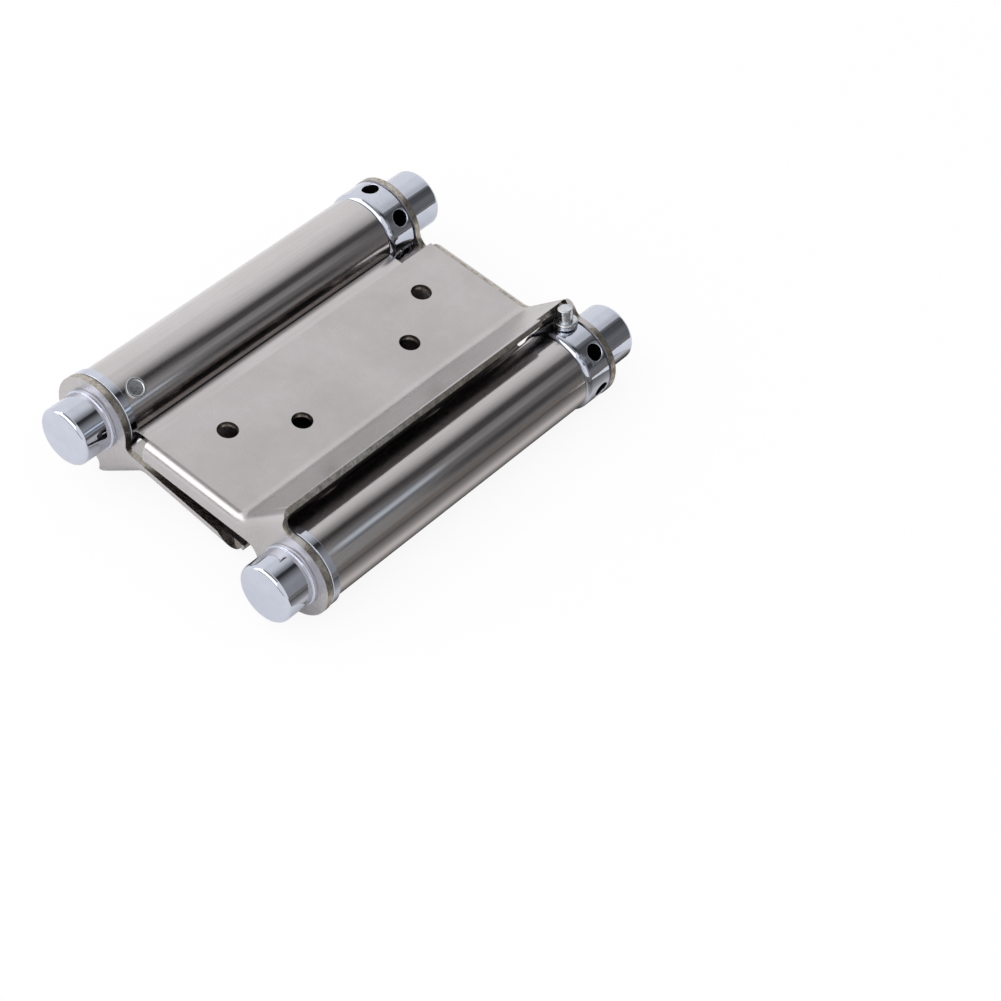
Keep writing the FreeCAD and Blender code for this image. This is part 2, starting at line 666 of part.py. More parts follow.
def make_tension_collar(side):
    """The collar that winds the spring, with holes for a bar and a spigot in the barrel."""
    body = side.body("tension_collar")
    bore = SPINDLE_RADIUS + " + seat"
    spigot = BARREL_BORE + " - spigot_clearance"
    turn(body, [
        (bore, SPIGOT_END),
        (spigot, SPIGOT_END),
        (spigot, COLLAR_START),
        *rounded(COLLAR_RADIUS, COLLAR_START, "collar_lip", "+"),
        (COLLAR_RADIUS, COLLAR_END + " - collar_edge"),
        (COLLAR_RADIUS + " - collar_edge", COLLAR_END),
        (bore, COLLAR_END),
    ])
    cut_tang_socket(body, SPIGOT_END)
    radial_cylinder(body, "Subtractive", "pin_hole", "pin_angle", HOLE_PLACE, HOLE_FLOOR,
                    PIN_TOP, "winding_hole")
    hole = radial_cylinder(body, "Subtractive", "winding_hole", "winding_angle", HOLE_PLACE,
                           HOLE_FLOOR, PIN_TOP, "winding_hole")
    pattern = body.newObject("PartDesign::PolarPattern", body.Name + "_winding_holes")
    pattern.Originals = [hole]
    pattern.Axis = (origin_feature(body, "Y_Axis"), [""])
    pattern.setExpression("Angle", bound("winding_pitch * (winding_holes - 1) * 1deg"))
    pattern.setExpression("Occurrences", bound("winding_holes"))
    body.Tip = pattern
    document.recompute()
    side.place(body, swings=True)
    return body


def make_stop_pin(side):
    """The pin in one winding hole, which bears on the notch in the leaf's wing."""
    body = side.body("stop_pin")
    radial_cylinder(body, "Additive", "shank", "pin_angle", HOLE_PLACE,
                    HOLE_FLOOR + " + pin_lift", PIN_TOP, "pin_diameter")
    radial_cylinder(body, "Additive", "shoulder", "pin_angle", HOLE_PLACE,
                    PIN_SEAT, PIN_SEAT + " + pin_shoulder", "pin_shoulder_diameter")
    side.place(body, swings=True)
    return body


def wire_sections(opening):
    """The corners of the spring's wire at each step round its coil, about the barrel axis.

    The coil ends turned on by the leaf's opening at rest.
    """
    radius = number(SPRING_RADIUS)
    half = number("spring_wire / 2")
    start = number(SPRING_START)
    rise = number(SPRING_END) - start
    turns = round(number("spring_turns"))
    count = turns * round(number("turn_steps"))
    whole = 2 * math.pi * turns + opening
    sections = []
    for step in range(count + 1):
        turned = whole * step / count
        place = start + rise * step / count
        section = []
        for out, along in ((-half, -half), (half, -half), (half, half), (-half, half)):
            across = (radius + out) * math.cos(turned)
            height = -(radius + out) * math.sin(turned)
            section.append(Vector(across, place + along, height))
        sections.append(section)
    return sections


def flat_face(corners):
    """A flat face between corners."""
    return Part.Face(Part.makePolygon(list(corners) + [corners[0]]))


def coil_faces(sections):
    """Flat faces of the coiled wire: its twisted sides are split into triangles."""
    faces = [flat_face(sections[0]), flat_face(sections[-1])]
    for before, after in zip(sections, sections[1:]):
        for k in range(4):
            n = (k + 1) % 4
            if k % 2:
                faces.append(flat_face((before[k], before[n], after[n], after[k])))
                continue
            faces.append(flat_face((before[k], before[n], after[n])))
            faces.append(flat_face((before[k], after[n], after[k])))
    return faces


def make_spring(side):
    """The torsion spring: square wire coiled round the spindle, with a tang at each end."""
    opening = math.radians(number(side.opening))
    coil = Part.Solid(Part.Shell(coil_faces(wire_sections(opening))))
    if coil.Volume < 0:
        coil.reverse()
    half = number("spring_wire / 2")
    wire = number("spring_wire")
    inner = number(SPRING_RADIUS) - half
    reach = number("tang_length + spring_end_gap + spring_wire - tang_clearance")
    first = number(SPRING_START) + half - reach
    last = number(SPRING_END) - half
    tangs = [Part.makeBox(wire, reach, wire, Vector(inner, place, -half)) for place in (first, last)]
    tangs[1].rotate(Vector(0, 0, 0), Vector(0, 1, 0), math.degrees(opening))
    feature = document.addObject("Part::Feature", side.name + "_torsion_spring")
    feature.Label = side.name + "_torsion_spring"
    feature.Shape = coil.fuse(tangs).removeSplitter()
    side.place(feature)
    return feature


def make_side(side, deep_at_near):
    """Every piece that belongs to one barrel."""
    return [
        make_leaf(side, deep_at_near),
        make_spindle(side),
        make_cap(side, "near_cap", "near_cap_length", NEAR_EAR, " - ", " + "),
        make_cap(side, "far_cap", "far_cap_length", FAR_EAR, " + ", " - "),
        make_fixed_plug(side),
        make_locking_pin(side),
        make_thrust_washer(side),
        make_tension_collar(side),
        make_stop_pin(side),
        make_spring(side),
    ]


def check_and_export(pieces):
    """Stop on any failed object, then write each piece to its own file."""
    document.recompute()
    for item in document.Objects:
        if "Invalid" in item.State or "Error" in item.State:
            raise RuntimeError(item.Name + " failed: " + str(item.State))
    os.makedirs("parts", exist_ok=True)
    for piece in pieces:
        shape = piece.Shape
        if shape.isNull() or not shape.isValid() or not shape.Solids:
            raise RuntimeError(piece.Label + " has no valid solid")
        shape.exportStep("parts/" + piece.Label + ".step")
        print(piece.Label, "solids", len(shape.Solids), "volume", round(shape.Volume, 2))


pieces = [make_barrel_sheet()] + make_side(RIGHT, True) + make_side(LEFT, False)
check_and_export(pieces)
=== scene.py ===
import logging
import math
from dataclasses import dataclass, field
from enum import Enum

import bmesh
import bpy
from mathutils import Matrix, Vector


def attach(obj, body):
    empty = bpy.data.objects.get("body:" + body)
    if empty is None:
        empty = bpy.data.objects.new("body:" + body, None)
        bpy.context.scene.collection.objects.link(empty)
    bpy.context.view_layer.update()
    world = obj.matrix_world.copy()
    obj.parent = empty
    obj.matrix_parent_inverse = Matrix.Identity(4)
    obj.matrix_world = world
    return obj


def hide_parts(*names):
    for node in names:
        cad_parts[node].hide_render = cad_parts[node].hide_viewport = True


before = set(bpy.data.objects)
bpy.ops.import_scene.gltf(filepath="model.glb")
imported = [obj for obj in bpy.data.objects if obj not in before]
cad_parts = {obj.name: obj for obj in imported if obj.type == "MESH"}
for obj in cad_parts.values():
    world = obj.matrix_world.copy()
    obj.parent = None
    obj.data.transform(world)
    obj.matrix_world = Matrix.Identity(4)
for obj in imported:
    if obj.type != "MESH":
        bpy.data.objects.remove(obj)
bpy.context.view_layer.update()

# Double action spring hinge: finishes, finely shaped pieces, floor, light and camera.
#
# Frame: +X from the left barrel to the right one, +Y from the fixed end of the barrels to the
# tension end, +Z out of the upper leaf. Sizes below are in millimetres and angles in degrees
# unless a name or comment says otherwise. A mesh is brought to metres when its piece is finished.

Pair = tuple[float, float]
Pairs = tuple[Pair, ...]

LOG = logging.getLogger("hinge")
MM = 0.001
Y_AXIS = (0.0, 1.0, 0.0)
# Two places nearer than this are the same place.
SAME_PLACE = 0.001
# Steps round a turned piece, and across the rounding of a rim, a hole's rim and a sheet's corner.
TURN_STEPS = 96
RIM_STEPS = 4
HOLE_STEPS = 3
CORNER_STEPS = 2
# An edge that folds by more than this stays crisp.
SHARP_ANGLE = math.radians(40)
# Socket numbers of a colour mix: the names are shared with sockets for other kinds of value.
MIX_FIRST = 6
MIX_SECOND = 7
MIX_RESULT = 2


# Colours and nodes

def linear(code: str) -> tuple[float, float, float, float]:
    """Turn an sRGB hex colour into linear values.

    Args:
        code: Six hex digits, two for each of red, green and blue.

    Returns:
        Linear red, green, blue and an alpha of one.
    """
    parts = [int(code[k:k + 2], 16) / 255 for k in (0, 2, 4)]
    values = [p / 12.92 if p <= 0.04045 else ((p + 0.055) / 1.055) ** 2.4 for p in parts]
    return values[0], values[1], values[2], 1.0


def add_node(tree: bpy.types.NodeTree, kind: str, settings: dict[str | int, object] | None = None,
             links: dict[str | int, bpy.types.NodeSocket] | None = None) -> bpy.types.Node:
    """Add a node with its settings and the links into it.

    Args:
        tree: The node tree that takes the node.
        kind: Blender's name of the node type.
        settings: Values by the name or number of an input, or by the name of one of the node's
            own options; "stops" fills a colour ramp.
        links: Output sockets by the name or number of the input that they feed.

    Returns:
        The new node.
    """
    node = tree.nodes.new(kind)
    for name, value in (settings or {}).items():
        if name == "stops":
            ramp = node.color_ramp
            while len(ramp.elements) < len(value):
                ramp.elements.new(0.5)
            for element, (place, colour) in zip(ramp.elements, value):
                element.position = place
                element.color = colour
        elif isinstance(name, int) or name in node.inputs.keys():
            node.inputs[name].default_value = value
        else:
            setattr(node, name, value)
    for name, socket in (links or {}).items():
        tree.links.new(socket, node.inputs[name])
    return node


def new_tree(name: str) -> tuple[bpy.types.Material, bpy.types.NodeTree]:
    """Start a material with an empty node tree.

    Args:
        name: The material's name.

    Returns:
        The material and its node tree.
    """
    material = bpy.data.materials.new(name)
    material.use_nodes = True
    material.node_tree.nodes.clear()
    return material, material.node_tree


# Finishes

class Grain(Enum):
    """Which way a finish's fine lines run, as stretch factors of its pattern."""

    ALONG_BARREL = (1.0, 0.03, 1.0)
    ACROSS_SHEET = (1.0, 1.0, 0.2)
    NONE = (1.0, 1.0, 1.0)


@dataclass(frozen=True)
class MetalFinish:
    """A bare or plated metal surface with clouds and fine lines.

    The colour turns towards the shade by the patch amount in the clouds, which are patch_mm
    wide, and by the grain amount on the lines, which are grain_mm wide. The lines also make the
    roughness vary between its two values, and stand out by relief_mm.
    """

    name: str
    colour: str
    shade: str
    roughness: Pair
    patch_mm: float
    patch_amount: float
    grain_mm: float
    grain: Grain
    grain_amount: float
    relief_mm: float
    cloud_span: Pair = (0.35, 0.7)
    line_span: Pair = (0.45, 0.75)
    dull_span: Pair = (0.3, 0.7)

    def material(self) -> bpy.types.Material:
        """Build the finish's material, or give the one built before.

        Returns:
            The material.
        """
        known = bpy.data.materials.get(self.name)
        if known:
            return known
        material, tree = new_tree(self.name)
        place = add_node(tree, "ShaderNodeTexCoord").outputs["Object"]
        lines = self.lines(tree, place)
        dull = add_node(tree, "ShaderNodeMapRange", {
            "From Min": self.dull_span[0], "From Max": self.dull_span[1],
            "To Min": self.roughness[0], "To Max": self.roughness[1]}, {"Value": lines})
        relief = add_node(tree, "ShaderNodeBump", {
            "Strength": 1.0, "Distance": self.relief_mm * MM}, {"Height": lines})
        shader = add_node(tree, "ShaderNodeBsdfPrincipled", {"Metallic": 1.0}, {
            "Base Color": self.tint(tree, place, lines), "Roughness": dull.outputs["Result"],
            "Normal": relief.outputs["Normal"]})
        add_node(tree, "ShaderNodeOutputMaterial", {}, {"Surface": shader.outputs["BSDF"]})
        return material

    def lines(self, tree: bpy.types.NodeTree, place: bpy.types.NodeSocket
              ) -> bpy.types.NodeSocket:
        """Draw the fine lines, or the fine grain where they run no way.

        Args:
            tree: The material's node tree.
            place: Object coordinates.

        Returns:
            The pattern, from zero to one.
        """
        stretched = add_node(tree, "ShaderNodeMapping", {"Scale": self.grain.value},
                             {"Vector": place})
        pattern = add_node(tree, "ShaderNodeTexNoise", {
            "Scale": 1000 / self.grain_mm, "Detail": 3.0, "Roughness": 0.65},
            {"Vector": stretched.outputs["Vector"]})
        return pattern.outputs["Fac"]

    def tint(self, tree: bpy.types.NodeTree, place: bpy.types.NodeSocket,
             lines: bpy.types.NodeSocket) -> bpy.types.NodeSocket:
        """Shade the colour with clouds, and then with the lines.

        Args:
            tree: The material's node tree.
            place: Object coordinates.
            lines: The pattern of fine lines.

        Returns:
            The finished colour.
        """
        clouds = add_node(tree, "ShaderNodeTexNoise", {
            "Scale": 1000 / self.patch_mm, "Detail": 5.0, "Roughness": 0.6}, {"Vector": place})
        cloud = add_node(tree, "ShaderNodeMapRange", {
            "From Min": self.cloud_span[0], "From Max": self.cloud_span[1],
            "To Max": self.patch_amount}, {"Value": clouds.outputs["Fac"]})
        line = add_node(tree, "ShaderNodeMapRange", {
            "From Min": self.line_span[0], "From Max": self.line_span[1],
            "To Max": self.grain_amount}, {"Value": lines})
        cloudy = add_node(tree, "ShaderNodeMix", {
            "data_type": "RGBA", MIX_FIRST: linear(self.colour), MIX_SECOND: linear(self.shade)},
            {"Factor": cloud.outputs["Result"]})
        lined = add_node(tree, "ShaderNodeMix", {
            "data_type": "RGBA", MIX_SECOND: linear(self.shade)},
            {"Factor": line.outputs["Result"], MIX_FIRST: cloudy.outputs[MIX_RESULT]})
        return lined.outputs[MIX_RESULT]


# Cold rolled steel, satin: a warm even grey with faint clouds. Its real tooth, about 0.1 mm, is
# too fine to show, so it is drawn 1.5 mm wide and very faint.
SATIN_STEEL = MetalFinish(
    name="satin rolled steel", colour="C6C2C3", shade="ADA8A7", roughness=(0.26, 0.34),
    patch_mm=14.0, patch_amount=0.5, grain_mm=1.5, grain=Grain.NONE, grain_amount=0.05,
    relief_mm=0.0001)
# Sheared steel edge: duller, browner and mottled, with the shear's marks across the sheet. They
# are about 0.1 mm apart on the real edge, and drawn 0.35 mm apart so that they show.
# It also dresses the rounded corners of the leaf's free edge, where its darkness is a painted
# shadow line.
SHEARED_STEEL = MetalFinish(
    name="sheared steel edge", colour="CCC5BC", shade="5E554C", roughness=(0.2, 0.4),
    patch_mm=1.1, patch_amount=0.65, grain_mm=0.35, grain=Grain.ACROSS_SHEET, grain_amount=0.7,
    relief_mm=0.006)
# Polished steel tube: a soft mirror of its surroundings, drawn out in lengthwise streaks. The
# real polishing lines are about 0.05 mm wide, and drawn 0.4 mm wide so that they show.
POLISHED_STEEL = MetalFinish(
    name="polished steel", colour="CBC7C8", shade="B3ACAB", roughness=(0.12, 0.18),
    patch_mm=20.0, patch_amount=0.3, grain_mm=0.4, grain=Grain.ALONG_BARREL, grain_amount=0.25,
    relief_mm=0.0003)
# Bright chrome plate: a cold blue mirror. Its slight waves, 1.8 mm wide as on real plating, bend
# the edges of what it mirrors.
CHROME = MetalFinish(
    name="bright chrome plate", colour="CCD0DC", shade="B4B8C8", roughness=(0.02, 0.06),
    patch_mm=3.0, patch_amount=0.3, grain_mm=1.8, grain=Grain.NONE, grain_amount=0.15,
    relief_mm=0.008)
# The drilled wall of a winding hole: unplated and rough, and nearly black as painted shade.
# The drill's marks are about 0.1 mm apart, and drawn 0.4 mm apart so that they show.
HOLE_WALL_SHADE = MetalFinish(
    name="drilled wall", colour="2A2A2C", shade="101010", roughness=(0.4, 0.6),
    patch_mm=1.0, patch_amount=0.5, grain_mm=0.4, grain=Grain.NONE, grain_amount=0.4,
    relief_mm=0.002)
# Bright zinc plate: pale, a little soft and speckled. Its crystals are about 0.1 mm wide, and
# drawn 0.4 mm wide so that they show.
ZINC = MetalFinish(
    name="bright zinc plate", colour="D9DCE0", shade="9A9DA2", roughness=(0.18, 0.34),
    patch_mm=1.2, patch_amount=0.5, grain_mm=0.4, grain=Grain.NONE, grain_amount=0.35,
    relief_mm=0.003)
# Plain steel washer: dark and dull. Its grain is under 0.1 mm wide, and drawn 0.3 mm wide so
# that it shows.
WASHER_STEEL = MetalFinish(
    name="plain steel washer", colour="8F8C88", shade="5A5754", roughness=(0.3, 0.45),
    patch_mm=3.0, patch_amount=0.5, grain_mm=0.3, grain=Grain.NONE, grain_amount=0.4,
    relief_mm=0.002)
# Drawn steel rod: smooth, with the die's fine lines along it. They are about 0.05 mm wide, and
# drawn 0.3 mm wide so that they show.
DRAWN_STEEL = MetalFinish(
    name="drawn steel rod", colour="BDBBB8", shade="8F8B87", roughness=(0.18, 0.3),
    patch_mm=6.0, patch_amount=0.3, grain_mm=0.3, grain=Grain.ALONG_BARREL, grain_amount=0.4,
    relief_mm=0.0006)
# Oiled spring wire: nearly black with a soft shine. The scale on it is about 0.1 mm wide, and
# drawn 0.5 mm wide so that it shows.
SPRING_WIRE = MetalFinish(
    name="oiled spring steel", colour="54565A", shade="2E2E30", roughness=(0.25, 0.4),
    patch_mm=3.0, patch_amount=0.5, grain_mm=0.5, grain=Grain.NONE, grain_amount=0.4,
    relief_mm=0.002)


# Places

class Side(Enum):
    """The two barrels: name, place of the axis, turn about Y, and how far the leaf hangs open."""

    RIGHT = ("right", 24.0, 0.0, 0.0)
    LEFT = ("left", -24.0, 180.0, 5.5)

    @property
    def label(self) -> str:
        """The side's word in the names of its nodes."""
        return self.value[0]

    @property
    def placing(self) -> Matrix:
        """The matrix that puts a mesh drawn about the barrel axis in its place, in millimetres."""
        shift = Matrix.Translation((self.value[1], 0.0, 0.0))
        return shift @ Matrix.Rotation(math.radians(self.value[2]), 4, "Y")

    @property
    def swung(self) -> Matrix:
        """The same for what swings with the leaf."""
        return self.placing @ Matrix.Rotation(math.radians(self.value[3]), 4, "Y")

    def node(self, piece: str) -> str:
        """The name of this side's CAD node for a piece."""
        return self.label + "_" + piece


class SpindleEnd(Enum):
    """The two ends of a spindle: the cap's node, and the places of its face and foot along Y."""

    NEAR = ("near_cap", -46.2, -39.2)
    FAR = ("far_cap", 46.2, 37.6)


# Mesh work

@dataclass(frozen=True)
class Corner:
    """A corner of a turned outline: distance from the axis, place along it and rounding."""

    radius: float
    place: float
    rounding: float = 0.0


def turned(outline: list[Corner], steps: int = TURN_STEPS) -> bmesh.types.BMesh:
    """Spin an outline about the Y axis and round its rims.

    Args:
        outline: Corners in order; it closes on itself unless both ends are on the axis.
        steps: Number of steps round the axis.

    Returns:
        A closed mesh in millimetres.
    """
    mesh = bmesh.new()
    points = [mesh.verts.new((corner.radius, corner.place, 0.0)) for corner in outline]
    lines = [mesh.edges.new(pair) for pair in zip(points, points[1:])]
    if outline[0].radius > 0 or outline[-1].radius > 0:
        lines.append(mesh.edges.new((points[-1], points[0])))
    bmesh.ops.spin(mesh, geom=points + lines, cent=(0, 0, 0), axis=Y_AXIS, dvec=(0, 0, 0),
                   angle=2 * math.pi, steps=steps, use_merge=True, use_normal_flip=False,
                   use_duplicate=False)
    bmesh.ops.remove_doubles(mesh, verts=mesh.verts[:], dist=SAME_PLACE)
    bmesh.ops.recalc_face_normals(mesh, faces=mesh.faces[:])
    for corner in outline:
        if corner.rounding > 0:
            rim = [edge for edge in mesh.edges if on_ring(edge, corner.radius, corner.place)]
            round_off(mesh, rim, corner.rounding, RIM_STEPS)
    return mesh


def on_ring(edge: bmesh.types.BMEdge, radius: float, place: float) -> bool:
    """Tell whether an edge lies on a ring about the Y axis.

    Args:
        edge: The edge.
        radius: The ring's radius.
        place: The ring's place along Y.

    Returns:
        True where both of its ends are on the ring.
    """
    return all(abs(point.co.y - place) < SAME_PLACE
               and abs(math.hypot(point.co.x, point.co.z) - radius) < SAME_PLACE
               for point in edge.verts)


def round_off(mesh: bmesh.types.BMesh, edges: list[bmesh.types.BMEdge], size: float, steps: int,
              clamp: bool = True) -> list[bmesh.types.BMFace]:
    """Bevel edges to a round profile.

    Args:
        mesh: The mesh.
        edges: Its edges to round.
        size: The rounding's size.
        steps: Steps across the rounding.
        clamp: Whether the rounding stays within its neighbours.

    Returns:
        The new faces of the rounding.
    """
    made = bmesh.ops.bevel(mesh, geom=edges, offset=size, offset_type="OFFSET",
                           segments=steps, profile=0.5, affect="EDGES",
                           clamp_overlap=clamp, material=-1)
    return made["faces"]


def radial(angle: float, place: float) -> Matrix:
    """The matrix that stands a mesh turned about Y on a barrel, pointing away from its axis.

    Args:
        angle: Angle above +X.
        place: Place along the barrel.

    Returns:
        The matrix, in millimetres.
    """
    lean = Matrix.Rotation(math.radians(-90), 4, "Z")
    swing = Matrix.Rotation(math.radians(-angle), 4, "Y")
    return Matrix.Translation((0.0, place, 0.0)) @ swing @ lean


def to_object(mesh: bmesh.types.BMesh, name: str) -> bpy.types.Object:
    """Put a drawn mesh in the scene.

    Args:
        mesh: The mesh in metres; it is freed.
        name: The name of the object and of its mesh.

    Returns:
        The object.
    """
    data = bpy.data.meshes.new(name)
    mesh.to_mesh(data)
    mesh.free()
    made = bpy.data.objects.new(name, data)
    bpy.context.scene.collection.objects.link(made)
    return made


def settle(mesh: bmesh.types.BMesh, name: str, finishes: list[MetalFinish], body: str,
           node: str, placing: Matrix = Matrix.Identity(4)) -> bpy.types.Object:
    """Turn a drawn mesh into a finished piece of the hinge.

    Args:
        mesh: The mesh in millimetres; it is freed.
        name: The piece's name.
        finishes: Finishes by the material numbers of the mesh's faces.
        body: The moving body that the piece rides on.
        node: The CAD node that the piece stands for.
        placing: Matrix from the piece's own place to the hinge's frame, in millimetres.

    Returns:
        The piece's object.
    """
    mesh.transform(Matrix.Scale(MM, 4) @ placing)
    mesh.normal_update()
    for face in mesh.faces:
        face.smooth = True
    for edge in mesh.edges:
        edge.smooth = len(edge.link_faces) == 2 and edge.calc_face_angle() < SHARP_ANGLE
    piece = to_object(mesh, name)
    for finish in finishes:
        piece.data.materials.append(finish.material())
    even = piece.modifiers.new("even normals", "WEIGHTED_NORMAL")
    even.keep_sharp = True
    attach(piece, body)
    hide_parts(node)
    return piece


@dataclass(frozen=True)
class WindingHole:
    """A radial hole with a rounded rim, sunk into a surface turned about Y.

    The surface and the floor are given by their radius about Y, and the angle, in radians, is
    counted from +X.
    """

    surface: float
    angle: float
    place: float
    radius: float
    floor: float
    rim: float
    margin: float = 0.05

    @property
    def outward(self) -> Vector:
        """The way out of the hole."""
        return Vector((math.cos(self.angle), 0.0, math.sin(self.angle)))

    @property
    def sideways(self) -> Vector:
        """The way across the hole, round the surface."""
        return Vector((-math.sin(self.angle), 0.0, math.cos(self.angle)))

    def seen_from(self, point: Vector) -> tuple[float, float, float]:
        """How far a point is out, aside and along, counted on the hole's axis."""
        return point.dot(self.outward), point.dot(self.sideways), point.y - self.place

    def at(self, out: float, aside: float, along: float) -> Vector:
        """The point that is so far out, aside and along."""
        sunk = self.outward * out + self.sideways * aside
        return sunk + Vector((0.0, self.place + along, 0.0))

    def open_patch(self, mesh: bmesh.types.BMesh) -> list[bmesh.types.BMEdge]:
        """Take out the surface's faces over the hole.

        Args:
            mesh: The turned mesh.

        Returns:
            The edges round the opening.
        """
        reach = self.radius + self.margin
        patch = []
        for face in mesh.faces:
            out, aside, along = self.seen_from(face.calc_center_median())
            on_surface = math.hypot(out, aside) > self.surface - self.margin
            if out > 0 and on_surface and max(abs(aside), abs(along)) < reach:
                patch.append(face)
        outline = set()
        for face in patch:
            for edge in face.edges:
                if sum(1 for other in edge.link_faces if other in patch) == 1:
                    outline.add(edge)
        ring = sorted(outline, key=lambda edge: edge.index)
        bmesh.ops.delete(mesh, geom=patch, context="FACES_ONLY")
        inner = [edge for edge in mesh.edges if edge not in outline and not edge.link_faces]
        bmesh.ops.delete(mesh, geom=inner, context="EDGES")
        return ring

    def drill(self, mesh: bmesh.types.BMesh) -> None:
        """Sink the hole; its wall and floor take the second finish.

        Args:
            mesh: A mesh turned about Y whose rings are fine near the hole.
        """
        ring = self.open_patch(mesh)
        for point in {point for edge in ring for point in edge.verts}:
            _, aside, along = self.seen_from(point.co)
            scale = self.radius / math.hypot(aside, along)
            aside *= scale
            along *= scale
            point.co = self.at(math.sqrt(self.surface ** 2 - aside ** 2), aside, along)
        # The wall and floor take the second finish, whose near black is the hole's painted shade.
        sunk = bmesh.ops.extrude_edge_only(mesh, edges=ring)["geom"]
        for wall in [item for item in sunk if isinstance(item, bmesh.types.BMFace)]:
            wall.material_index = 1
        for point in [item for item in sunk if isinstance(item, bmesh.types.BMVert)]:
            _, aside, along = self.seen_from(point.co)
            point.co = self.at(self.floor, aside, along)
        bottom = [item for item in sunk
                  if isinstance(item, bmesh.types.BMEdge)
                  and all(abs(self.seen_from(point.co)[0] - self.floor) < SAME_PLACE
                          for point in item.verts)]
        for face in bmesh.ops.contextual_create(mesh, geom=bottom)["faces"]:
            face.material_index = 1
        for face in round_off(mesh, ring, self.rim, HOLE_STEPS):
            face.material_index = 0


# Pieces of the hinge

@dataclass
class BarrelSheet:
    """The polished centre sheet, rolled into a barrel along each long edge."""

    axis: float = 24.0
    sheet: float = 1.2
    radius: float = 7.65
    near_end: float = -35.9
    far_end: float = 29.9
    root: float = 1.6
    root_steps: int = 10
    seam: float = 0.25
    corner: float = 0.12
    barrel_steps: int = 128

    def arc(self, centre: Pair, radius: float, start: float, stop: float,
            count: int) -> list[Pair]:
        """Points along a round stretch of the section.

        Args:
            centre: The arc's centre, as X and Z.
            radius: The arc's radius.
            start: Angle of its first point above +X, in radians.
            stop: Angle of its last point.
            count: Steps along it.

        Returns:
            Points as X and Z, both ends among them.
        """
        turns = [start + (stop - start) * number / count for number in range(count + 1)]
        return [(centre[0] + radius * math.cos(turn), centre[1] + radius * math.sin(turn))
                for turn in turns]

    def half_section(self) -> list[Pair]:
        """Outline the right half, from the web's top round the barrel to the web's underside.

        Returns:
            Points as X and Z.
        """
        half = self.sheet / 2
        bend_height = half + self.root
        bend_place = self.axis - math.sqrt((self.radius + self.root) ** 2 - bend_height ** 2)
        lean = math.atan2(bend_height, self.axis - bend_place)
        bore = self.radius - self.sheet
        edge = half + self.seam
        middle = (self.axis, 0.0)
        root = self.arc((bend_place, bend_height), self.root, -math.pi / 2, -lean,
                        self.root_steps)
        outside = self.arc(middle, self.radius, math.pi - lean,
                           math.asin(edge / self.radius) - math.pi, self.barrel_steps)
        inside = self.arc(middle, bore, math.asin(edge / bore) - math.pi,
                          math.asin(half / bore) + math.pi, self.barrel_steps)
        return root + outside[1:] + inside

    def build(self) -> list[bpy.types.Object]:
        """Draw the section, pull it along the barrels and break its end corners.

        Returns:
            The sheet.
        """
        right = self.half_section()
        outline = right + [(-across, -height) for across, height in right]
        mesh = bmesh.new()
        points = [mesh.verts.new((across, self.near_end, height)) for across, height in outline]
        start = mesh.faces.new(points)
        pulled = bmesh.ops.extrude_face_region(mesh, geom=[start])["geom"]
        ends = [item for item in pulled if isinstance(item, bmesh.types.BMVert)]
        bmesh.ops.translate(mesh, verts=ends, vec=(0.0, self.far_end - self.near_end, 0.0))
        bmesh.ops.recalc_face_normals(mesh, faces=mesh.faces[:])
        rims = [edge for edge in mesh.edges
                if abs(edge.verts[0].co.y - edge.verts[1].co.y) < SAME_PLACE]
        round_off(mesh, rims, self.corner, CORNER_STEPS)
        return [settle(mesh, "barrel_sheet_rolled", [POLISHED_STEEL], "centre",
                       "barrel_sheet")]


